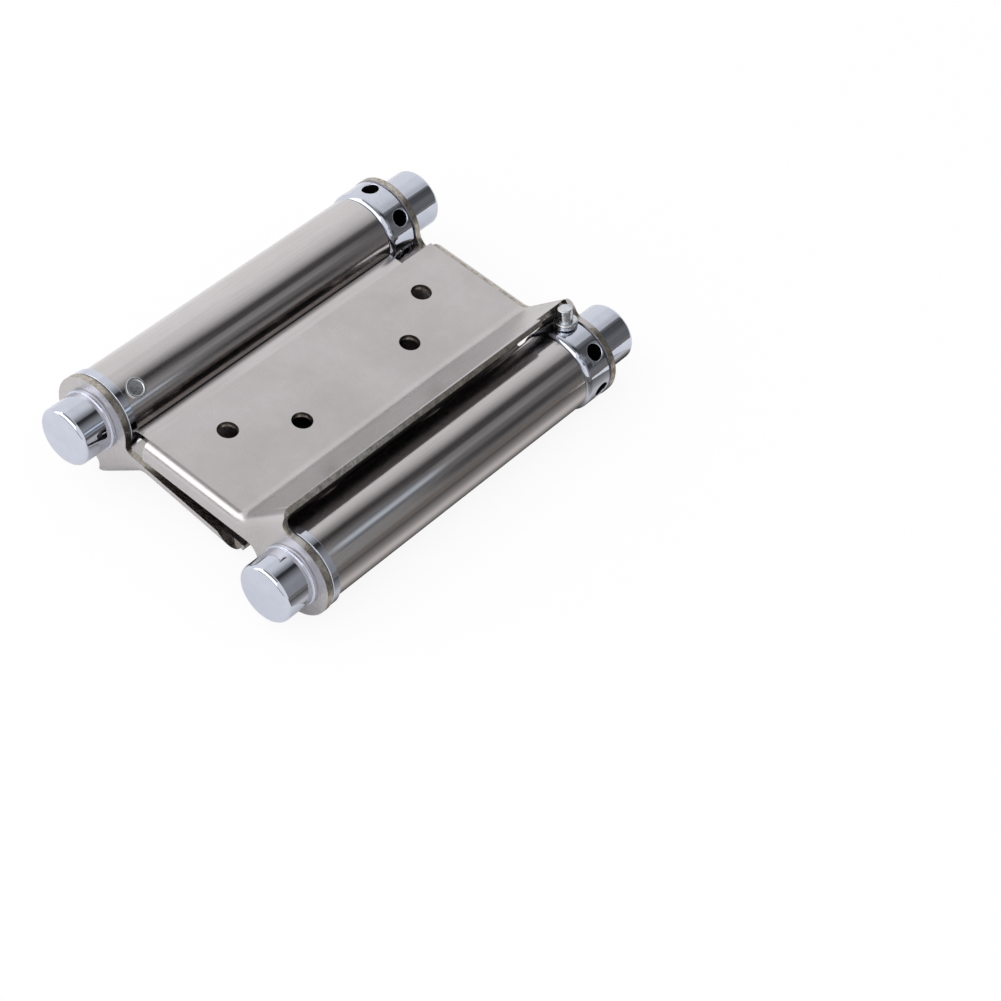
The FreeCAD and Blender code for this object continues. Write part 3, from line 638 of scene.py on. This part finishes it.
@dataclass
class Leaf:
    """A folded leaf: satin faces, sheared edges, every corner slightly broken.

    Places are about the barrel axis. The tip is the outer corner of the wing's long edge, as X
    and Z, and crest_reach is how far that edge runs to either side of Y = 0.
    """

    side: Side
    corner: float = 0.15
    tip_rounding: float = 0.4
    crest_reach: float = 37.2
    free_edge: float = -39.7
    end_zone: float = 36.3
    plate_under: float = 2.1
    wing_angle: float = 45.5
    crease_zone: Pair = (-16.0, -9.0)
    tip: Pair = (-3.98, 12.21)
    tip_room: Pair = (1.3, 2.9)
    tip_start: float = 35.7
    tip_margin: float = 0.05
    tip_cut: float = 0.5
    tip_slope: float = 0.45
    slack: float = 0.02
    merge: float = 0.002
    flat_angle: float = 0.5

    def sheared(self, centre: Vector, normal: Vector) -> bool:
        """Tell a cut edge of the sheet from its rolled faces.

        Args:
            centre: Middle of a face, about the barrel axis, in millimetres.
            normal: The face's direction.

        Returns:
            True for a face that the shear or the punch left.
        """
        if abs(normal.y) > self.slack:
            return abs(centre.y) <= self.end_zone
        if centre.z <= self.plate_under:
            return True
        angle = math.radians(self.wing_angle)
        wing = Vector((-math.sin(angle), 0.0, math.cos(angle)))
        if max(abs(normal.z), abs(normal.dot(wing))) > 1 - self.slack:
            return False
        between = abs(normal.z) > wing.z - self.slack and normal.x * normal.z < 0
        return not (between and self.crease_zone[0] < centre.x < self.crease_zone[1])

    def on_crest(self, edge: bmesh.types.BMEdge) -> bool:
        """Tell whether an edge is the outer corner of the wing's long sheared edge.

        Args:
            edge: An edge of the leaf.

        Returns:
            True where both of its ends lie on that corner, within the crest's reach.
        """
        across, height = self.tip
        return all(abs(point.co.x - across) < self.slack and abs(point.co.z - height) < self.slack
                   and abs(point.co.y) < self.crest_reach for point in edge.verts)

    def trim_tip(self, mesh: bmesh.types.BMesh) -> None:
        """Draw back the sharp corner of the wing's far end, behind the stop pin.

        Args:
            mesh: The leaf, in millimetres.
        """
        angle = math.radians(self.wing_angle)
        along = Vector((math.cos(angle), 0.0, math.sin(angle)))
        tip = Vector((self.tip[0], 0.0, self.tip[1]))
        inner, lower = self.tip[0] + self.tip_room[0], self.tip[1] - self.tip_room[1]
        for point in mesh.verts:
            run = point.co.y - self.tip_start
            near = point.co.x < inner and point.co.z > lower
            if run > -self.tip_margin and near:
                beyond = (point.co - tip).dot(along) + self.tip_cut + self.tip_slope * run
                point.co -= along * max(beyond, 0.0)

    def build(self) -> list[bpy.types.Object]:
        """Copy the leaf's solid, sort its faces and break its corners.

        Returns:
            The leaf.
        """
        node = self.side.node("leaf")
        mesh = bmesh.new()
        mesh.from_mesh(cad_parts[node].data)
        mesh.transform(self.side.swung.inverted() @ Matrix.Scale(1 / MM, 4))
        bmesh.ops.remove_doubles(mesh, verts=mesh.verts[:], dist=self.merge)
        bmesh.ops.dissolve_limit(mesh, angle_limit=math.radians(self.flat_angle),
                                 use_dissolve_boundaries=False, verts=mesh.verts[:],
                                 edges=mesh.edges[:])
        self.trim_tip(mesh)
        bmesh.ops.recalc_face_normals(mesh, faces=mesh.faces[:])
        for face in mesh.faces:
            face.material_index = int(self.sheared(face.calc_center_median(), face.normal))
        crest = [edge for edge in mesh.edges if self.on_crest(edge)]
        for face in round_off(mesh, crest, self.tip_rounding, RIM_STEPS, clamp=False):
            face.material_index = 0
        corners = [edge for edge in mesh.edges
                   if len(edge.link_faces) == 2 and edge.calc_face_angle() > SHARP_ANGLE]
        # The rounded corners along the free edge take the darker sheared finish: partly the real
        # cut edge, partly a painted shadow line along the gap beside it.
        for face in round_off(mesh, corners, self.corner, CORNER_STEPS):
            if face.calc_center_median().x < self.free_edge:
                face.material_index = 1
        return [settle(mesh, node + "_folded", [SATIN_STEEL, SHEARED_STEEL],
                       self.side.label + "_wing", node, self.side.swung)]


@dataclass
class EndCap:
    """A chromed cap on one end of a spindle, with a ring at its foot."""

    side: Side
    end: SpindleEnd
    radius: float = 5.7
    face_rounding: float = 0.9
    ring_radius: float = 6.0
    ring_width: float = 0.8
    ring_rounding: float = 0.2
    root_rounding: float = 0.12
    foot_rounding: float = 0.1
    bore: float = 2.52
    bore_depth: float = 4.62

    def build(self) -> list[bpy.types.Object]:
        """Turn the cap and dress it in chrome.

        Returns:
            The cap.
        """
        piece, face, foot = self.end.value
        out = math.copysign(1.0, face)
        crest = foot + out * self.ring_width
        mesh = turned([
            Corner(0.0, face),
            Corner(self.radius, face, self.face_rounding),
            Corner(self.radius, crest, self.root_rounding),
            Corner(self.ring_radius, crest, self.ring_rounding),
            Corner(self.ring_radius, foot, self.foot_rounding),
            Corner(self.bore, foot),
            Corner(self.bore, foot + out * self.bore_depth),
            Corner(0.0, foot + out * self.bore_depth),
        ])
        node = self.side.node(piece)
        return [settle(mesh, node + "_turned", [CHROME], self.side.label + "_wing",
                       node, self.side.placing)]


@dataclass
class FixedPlug:
    """The chromed plug at the near end of a barrel, with its locking pin."""

    side: Side
    flange_start: float = -37.55
    barrel_start: float = -35.9
    spigot_end: float = -26.9
    radius: float = 8.15
    spigot_radius: float = 6.43
    bore: float = 2.55
    rim: float = 0.2
    pin_radius: float = 1.95
    pin_root: float = 3.75
    pin_top: float = 7.95
    pin_rounding: float = 0.12
    dish_radius: float = 1.5
    dish_depth: float = 0.15
    dish_slope: float = 0.1
    dish_rounding: Pair = (0.06, 0.04)
    pin_place: float = -32.9
    pin_angle: float = 237.5

    def build(self) -> list[bpy.types.Object]:
        """Turn the plug and its pin.

        Returns:
            The plug and the pin.
        """
        return [self.build_plug(), self.build_pin()]

    def build_plug(self) -> bpy.types.Object:
        """Turn the plug, its spigot inside the barrel.

        Returns:
            The plug.
        """
        mesh = turned([
            Corner(self.bore, self.flange_start),
            Corner(self.radius, self.flange_start, self.rim),
            Corner(self.radius, self.barrel_start, self.rim / 2),
            Corner(self.spigot_radius, self.barrel_start),
            Corner(self.spigot_radius, self.spigot_end),
            Corner(self.bore, self.spigot_end),
        ])
        node = self.side.node("fixed_plug")
        return settle(mesh, node + "_turned", [CHROME], "centre", node,
                      self.side.placing)

    def build_pin(self) -> bpy.types.Object:
        """Turn the pin with its dished head, and stand it in the barrel.

        Returns:
            The pin.
        """
        dish = self.pin_top - self.dish_depth
        mesh = turned([
            Corner(0.0, self.pin_root),
            Corner(self.pin_radius, self.pin_root),
            Corner(self.pin_radius, self.pin_top, self.pin_rounding),
            Corner(self.dish_radius, self.pin_top, self.dish_rounding[0]),
            Corner(self.dish_radius - self.dish_slope, dish, self.dish_rounding[1]),
            Corner(0.0, dish),
        ])
        node = self.side.node("locking_pin")
        return settle(mesh, node + "_turned", [ZINC], "centre", node,
                      self.side.placing @ radial(self.pin_angle, self.pin_place))


@dataclass
class TensionCollar:
    """The chromed collar with its ring of winding holes, and the stop pin in one of them."""

    side: Side
    start: float = 30.0
    end: float = 36.35
    radius: float = 8.15
    lip: float = 1.1
    lip_steps: int = 6
    edge: float = 0.4
    spigot_start: float = 22.0
    spigot_radius: float = 6.37
    spigot_rounding: float = 0.2
    bore: float = 2.52
    band_rows: int = 24
    hole_place: float = 34.15
    hole_radius: float = 1.6
    hole_floor: float = 4.25
    hole_rim: float = 0.22
    hole_angles: tuple[float, ...] = (105.0, 51.8, -8.2, -68.2, -128.2, 171.8)
    pin_floor: float = 4.35
    pin_radius: float = 1.4
    pin_top: float = 12.0
    pin_rounding: float = 0.2
    shoulder_floor: float = 8.25
    shoulder_radius: float = 2.2
    shoulder_top: float = 9.45
    shoulder_rounding: Pair = (0.15, 0.3)

    def build(self) -> list[bpy.types.Object]:
        """Turn and drill the collar, and set the stop pin.

        Returns:
            The collar and the pin.
        """
        return [self.build_collar(), self.build_pin()]

    def build_collar(self) -> bpy.types.Object:
        """Turn the collar with fine rows where its holes come, and drill them.

        Returns:
            The collar.
        """
        low = self.start + self.lip
        high = self.end - self.edge
        step = (high - low) / self.band_rows
        band = [Corner(self.radius, low + step * row) for row in range(1, self.band_rows + 1)]
        mesh = turned([
            Corner(self.bore, self.spigot_start),
            Corner(self.spigot_radius, self.spigot_start, self.spigot_rounding),
            Corner(self.spigot_radius, self.start),
            *self.round_lip(),
            *band,
            Corner(self.radius - self.edge, self.end),
            Corner(self.bore, self.end),
        ], 2 * TURN_STEPS)
        for angle in self.hole_angles:
            WindingHole(self.radius, math.radians(angle), self.hole_place, self.hole_radius,
                        self.hole_floor, self.hole_rim).drill(mesh)
        bmesh.ops.recalc_face_normals(mesh, faces=mesh.faces[:])
        node = self.side.node("tension_collar")
        return settle(mesh, node + "_drilled", [CHROME, HOLE_WALL_SHADE], self.side.label + "_collar",
                      node, self.side.swung)

    def round_lip(self) -> list[Corner]:
        """List the corners of the rounded lip, from the collar's face to its side.

        Returns:
            The corners, both ends among them.
        """
        turns = [math.pi / 2 * number / self.lip_steps for number in range(self.lip_steps + 1)]
        return [Corner(self.radius - self.lip * (1 - math.sin(turn)),
                       self.start + self.lip * (1 - math.cos(turn))) for turn in turns]

    def build_pin(self) -> bpy.types.Object:
        """Turn the stop pin with its shoulder, and stand it in the first hole.

        Returns:
            The pin.
        """
        mesh = turned([
            Corner(0.0, self.pin_floor),
            Corner(self.pin_radius, self.pin_floor, self.pin_rounding),
            Corner(self.pin_radius, self.shoulder_floor),
            Corner(self.shoulder_radius, self.shoulder_floor, self.shoulder_rounding[0]),
            Corner(self.shoulder_radius, self.shoulder_top, self.shoulder_rounding[1]),
            Corner(self.pin_radius, self.shoulder_top),
            Corner(self.pin_radius, self.pin_top, self.pin_rounding),
            Corner(0.0, self.pin_top),
        ])
        node = self.side.node("stop_pin")
        return settle(mesh, node + "_turned", [ZINC], self.side.label + "_collar",
                      node, self.side.swung @ radial(self.hole_angles[0], self.hole_place))


@dataclass
class PlainPieces:
    """Pieces whose solids already have the right shape: they only get their finish."""

    finishes: dict[str, MetalFinish] = field(default_factory=lambda: {
        "spindle": DRAWN_STEEL,
        "thrust_washer": WASHER_STEEL,
        "torsion_spring": SPRING_WIRE,
    })

    def build(self) -> list[bpy.types.Object]:
        """Give each of these CAD nodes its material.

        Returns:
            The dressed nodes.
        """
        dressed = []
        for side in Side:
            for piece, finish in self.finishes.items():
                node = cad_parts[side.node(piece)]
                node.data.materials.clear()
                node.data.materials.append(finish.material())
                dressed.append(node)
        return dressed


# Studio

@dataclass(frozen=True)
class Card:
    """A glowing studio card that only reflections see: a bent board along Y, turned about Z.

    The profile is the board's section, as X and Z, and the ends are its places along Y. The
    tones run along the profile from zero to one.
    """

    name: str
    profile: Pairs
    ends: Pair
    tones: Pairs
    turn: float = 0.0
    warmth: float = 0.0

    def build(self) -> None:
        """Stand the card up and hide it from all but mirrors."""
        card = to_object(self.board(), self.name)
        card.data.materials.append(self.glow())
        card.visible_camera = False
        card.visible_diffuse = False
        card.visible_shadow = False
        card.visible_transmission = False

    def board(self) -> bmesh.types.BMesh:
        """Bend the board, with the V of its UV map running along the profile.

        Returns:
            The board, in metres.
        """
        mesh = bmesh.new()
        layer = mesh.loops.layers.uv.new("card")
        rows = [[mesh.verts.new(Vector((across, end, height)) * MM) for end in self.ends]
                for across, height in self.profile]
        count = len(rows) - 1
        for number, (before, after) in enumerate(zip(rows, rows[1:])):
            face = mesh.faces.new((before[0], before[1], after[1], after[0]))
            for loop, step in zip(face.loops, (0, 0, 1, 1)):
                loop[layer].uv = (0.5, (number + step) / count)
        mesh.transform(Matrix.Rotation(math.radians(self.turn), 4, "Z"))
        return mesh

    def glow(self) -> bpy.types.Material:
        """Colour the card by its tones.

        Returns:
            The card's material.
        """
        material, tree = new_tree(self.name)
        place = add_node(tree, "ShaderNodeTexCoord").outputs["UV"]
        height = add_node(tree, "ShaderNodeSeparateXYZ", {}, {0: place}).outputs["Y"]
        stops = [(spot, (tone * (1 + self.warmth), tone, tone * (1 - self.warmth), 1.0))
                 for spot, tone in self.tones]
        ramp = add_node(tree, "ShaderNodeValToRGB", {"stops": stops}, {"Fac": height})
        glow = add_node(tree, "ShaderNodeEmission", {"Strength": 1.0},
                        {"Color": ramp.outputs["Color"]})
        add_node(tree, "ShaderNodeOutputMaterial", {}, {"Surface": glow.outputs["Emission"]})
        return material


# A narrow window: the bright line in the left near cap and in the near half of the right barrel.
WINDOW_STRIP = Card(
    "window strip", ((81.6, 38.1), (61.6, 57.7)), (2, 32),
    ((0.0, 0.12), (0.28, 0.3), (0.45, 0.8), (0.55, 0.95), (0.7, 0.5), (1.0, 0.1)), warmth=-0.1)
# The dim ceiling: it takes the glare off the top of the leaf's near fold and of the near rims.
OVERHEAD_CARD = Card("overhead card", ((-900, 1000), (400, 1000)), (-700, 60),
                     ((0.0, 0.35), (1.0, 0.35)))
# The dark room beyond the near end: it draws the dark line low on the same fold and rims.
FRONT_CARD = Card("front card", ((700, -40), (700, 110)), (-600, 600),
                  ((0.0, 0.04), (1.0, 0.08)), turn=-90.0)


@dataclass
class Studio:
    """The pale floor, the white room, the soft light and the camera.

    The sweeps give a bent card's tones by the angle above +X. Three such cards stand one behind
    another along Y: the near chrome mirrors the first, the barrels the second and the far chrome
    the third. The grounds give the tones of a card on the floor by its place along X: a painted
    reflection of the floor beside the hinge, darkest under the right barrel, where it paints the
    hinge's shadow.
    """

    floor_tilt: float = 5.31
    floor_drop: float = 10.53
    floor_half_size_m: float = 6.0
    floor_glow: float = 0.9
    room_light: float = 0.8
    key_direction: tuple[float, float, float] = (-0.36, -0.74, 0.56)
    key_distance_m: float = 1.2
    key_size_m: float = 1.8
    key_watts: float = 12.0
    camera_place_m: tuple[float, float, float] = (0.21629, -0.28112, 0.37064)
    camera_right: tuple[float, float, float] = (0.7513, 0.6475, 0.1275)
    camera_up: tuple[float, float, float] = (-0.5537, 0.5134, 0.6556)
    camera_clip_m: float = 0.01
    lens: float = 102.92
    sensor: float = 36.0
    sweep_radius: float = 250.0
    sweep_steps: int = 60
    near_ends: Pair = (30, 134)
    near_sweep: Pairs = (
        (-6, 0.15), (0, 0.28), (7, 0.33), (24, 0.34), (40, 0.38), (50, 0.3), (57, 0.22),
        (66, 0.1), (71, 0.04), (78, 0.04), (81, 0.2), (92, 0.46), (100, 0.7), (111, 0.86),
        (134, 0.9))
    barrel_ends: Pair = (134, 203)
    barrel_sweep: Pairs = (
        (-6, 0.2), (7, 0.2), (14, 0.08), (18, 0.05), (22, 0.06), (28, 0.17), (36, 0.17),
        (40, 0.34), (44, 0.32), (48, 0.27), (53, 0.28), (57, 0.1), (60, 0.04), (63, 0.08),
        (68, 0.05), (72, 0.08), (76, 0.2), (81, 0.38), (86, 0.52), (96, 0.74), (108, 0.84),
        (120, 0.94), (134, 1.0))
    far_ends: Pair = (203, 900)
    far_sweep: Pairs = (
        (-1, 0.17), (10, 0.17), (24, 0.17), (30, 0.19), (40, 0.15), (48, 0.1), (58, 0.1),
        (64, 0.08), (68, 0.14), (73, 0.2), (75, 0.22), (77, 0.62), (90, 0.7), (100, 0.86),
        (112, 0.92), (134, 0.93))
    # The ground strips paint the floor to the right of the hinge as the metal mirrors it; their
    # darkest tones, under the right barrel, are a painted shadow of the hinge.
    ground_lift: float = 0.3
    ground_ends: Pair = (-38, 52)
    ground_warmth: float = 0.03
    ground: Pairs = (
        (20.0, 0.03), (29.5, 0.05), (30.7, 0.1), (31.9, 0.22), (33.3, 0.37), (35.2, 0.65),
        (37.6, 0.67), (41.2, 0.41), (46.9, 0.26), (58.7, 0.12), (66.0, 0.1))
    far_ground_ends: Pair = (-38, 220)
    far_ground_warmth: float = 0.08
    far_ground: Pairs = ((66.0, 0.2), (240.0, 0.2))

    def build(self) -> None:
        """Set up everything round the hinge."""
        self.build_floor()
        self.build_room()
        self.build_light()
        for card in self.cards():
            card.build()
        self.build_camera()
        bpy.context.scene.view_settings.view_transform = "Standard"

    def build_floor(self) -> None:
        """Lay the white floor under what the hinge rests on."""
        mesh = bmesh.new()
        bmesh.ops.create_grid(mesh, x_segments=1, y_segments=1, size=self.floor_half_size_m)
        tilt = Matrix.Rotation(math.radians(-self.floor_tilt), 4, "Y")
        drop = Matrix.Translation((0.0, 0.0, -self.floor_drop * MM))
        mesh.transform(tilt @ drop)
        floor = to_object(mesh, "floor")
        material, tree = new_tree("white paper floor")
        paper = add_node(tree, "ShaderNodeBsdfDiffuse", {"Color": linear("F7F7F7")})
        white = add_node(tree, "ShaderNodeEmission", {"Strength": 1.0})
        seen = add_node(tree, "ShaderNodeLightPath").outputs["Is Camera Ray"]
        share = add_node(tree, "ShaderNodeMath", {"operation": "MULTIPLY", 1: self.floor_glow},
                         {0: seen})
        mixed = add_node(tree, "ShaderNodeMixShader", {}, {
            0: share.outputs[0], 1: paper.outputs[0], 2: white.outputs[0]})
        add_node(tree, "ShaderNodeOutputMaterial", {}, {"Surface": mixed.outputs[0]})
        floor.data.materials.append(material)

    def build_room(self) -> None:
        """Fill the room with white, a little dimmer as light than as what mirrors see."""
        world = bpy.data.worlds.new("white room")
        world.use_nodes = True
        tree = world.node_tree
        tree.nodes.clear()
        path = add_node(tree, "ShaderNodeLightPath")
        mirror = add_node(tree, "ShaderNodeMath", {"operation": "MAXIMUM"}, {
            0: path.outputs["Is Camera Ray"], 1: path.outputs["Is Glossy Ray"]})
        level = add_node(tree, "ShaderNodeMapRange", {"To Min": self.room_light, "To Max": 1.0},
                         {"Value": mirror.outputs[0]})
        room = add_node(tree, "ShaderNodeBackground", {"Color": (1.0, 1.0, 1.0, 1.0)},
                        {"Strength": level.outputs["Result"]})
        add_node(tree, "ShaderNodeOutputWorld", {}, {"Surface": room.outputs[0]})
        bpy.context.scene.world = world

    def build_light(self) -> None:
        """Hang the soft key light in front, to the left and above."""
        lamp = bpy.data.lights.new("key light", "AREA")
        lamp.shape = "SQUARE"
        lamp.size = self.key_size_m
        lamp.energy = self.key_watts
        light = bpy.data.objects.new("key light", lamp)
        toward = Vector(self.key_direction).normalized()
        turn = toward.to_track_quat("Z", "Y").to_matrix().to_4x4()
        light.matrix_world = Matrix.Translation(toward * self.key_distance_m) @ turn
        bpy.context.scene.collection.objects.link(light)

    def cards(self) -> list[Card]:
        """List the cards that draw the dark and pale bands in the metal.

        Returns:
            The cards.
        """
        return [
            self.bent_card("near bent card", self.near_sweep, self.near_ends),
            self.bent_card("barrel bent card", self.barrel_sweep, self.barrel_ends),
            self.bent_card("far bent card", self.far_sweep, self.far_ends),
            self.ground_card("ground strip", self.ground, self.ground_ends, self.ground_warmth),
            self.ground_card("far ground strip", self.far_ground, self.far_ground_ends,
                             self.far_ground_warmth),
            WINDOW_STRIP, OVERHEAD_CARD, FRONT_CARD,
        ]

    def bent_card(self, name: str, sweep: Pairs, ends: Pair) -> Card:
        """Bend a card round the hinge, on the side away from the camera.

        Args:
            name: The card's name.
            sweep: Its tones by the angle above +X.
            ends: Where it starts and ends along Y.

        Returns:
            The card.
        """
        low, high = sweep[0][0], sweep[-1][0]
        turns = [math.radians(low + (high - low) * step / self.sweep_steps)
                 for step in range(self.sweep_steps + 1)]
        arc = tuple((self.sweep_radius * math.cos(turn), self.sweep_radius * math.sin(turn))
                    for turn in turns)
        return Card(name, arc, ends, self.spread(sweep))

    def ground_card(self, name: str, tones: Pairs, ends: Pair, warmth: float) -> Card:
        """Lay a card just above the floor.

        Args:
            name: The card's name.
            tones: Its tones by the place along X.
            ends: Where it starts and ends along Y.
            warmth: How much redder than grey it is.

        Returns:
            The card.
        """
        tilt = math.radians(self.floor_tilt)
        base = self.ground_lift - self.floor_drop / math.cos(tilt)
        lie = tuple((across, base + across * math.tan(tilt))
                    for across in (tones[0][0], tones[-1][0]))
        return Card(name, lie, ends, self.spread(tones), warmth=warmth)

    def spread(self, tones: Pairs) -> Pairs:
        """Count the places of tones from zero at the first to one at the last."""
        first, last = tones[0][0], tones[-1][0]
        return tuple(((place - first) / (last - first), tone) for place, tone in tones)

    def build_camera(self) -> None:
        """Put the camera where the photograph was taken from."""
        data = bpy.data.cameras.new("camera")
        data.lens = self.lens
        data.sensor_width = self.sensor
        data.clip_start = self.camera_clip_m
        camera = bpy.data.objects.new("camera", data)
        right = Vector(self.camera_right).normalized()
        up = Vector(self.camera_up)
        up = (up - right * up.dot(right)).normalized()
        back = right.cross(up)
        turn = Matrix((right, up, back)).transposed().to_4x4()
        camera.matrix_world = Matrix.Translation(self.camera_place_m) @ turn
        bpy.context.scene.collection.objects.link(camera)
        bpy.context.scene.camera = camera


def main() -> None:
    """Build the hinge's looks in order and report each piece."""
    logging.basicConfig(level=logging.INFO, format="%(message)s")
    assemblies = [BarrelSheet()]
    for side in Side:
        assemblies += [Leaf(side), EndCap(side, SpindleEnd.NEAR), EndCap(side, SpindleEnd.FAR),
                       FixedPlug(side), TensionCollar(side)]
    assemblies.append(PlainPieces())
    for assembly in assemblies:
        for piece in assembly.build():
            finishes = ", ".join(material.name for material in piece.data.materials)
            LOG.info("%s: %d faces in %s", piece.name, len(piece.data.polygons), finishes)
    Studio().build()


if __name__ == "__main__":
    main()
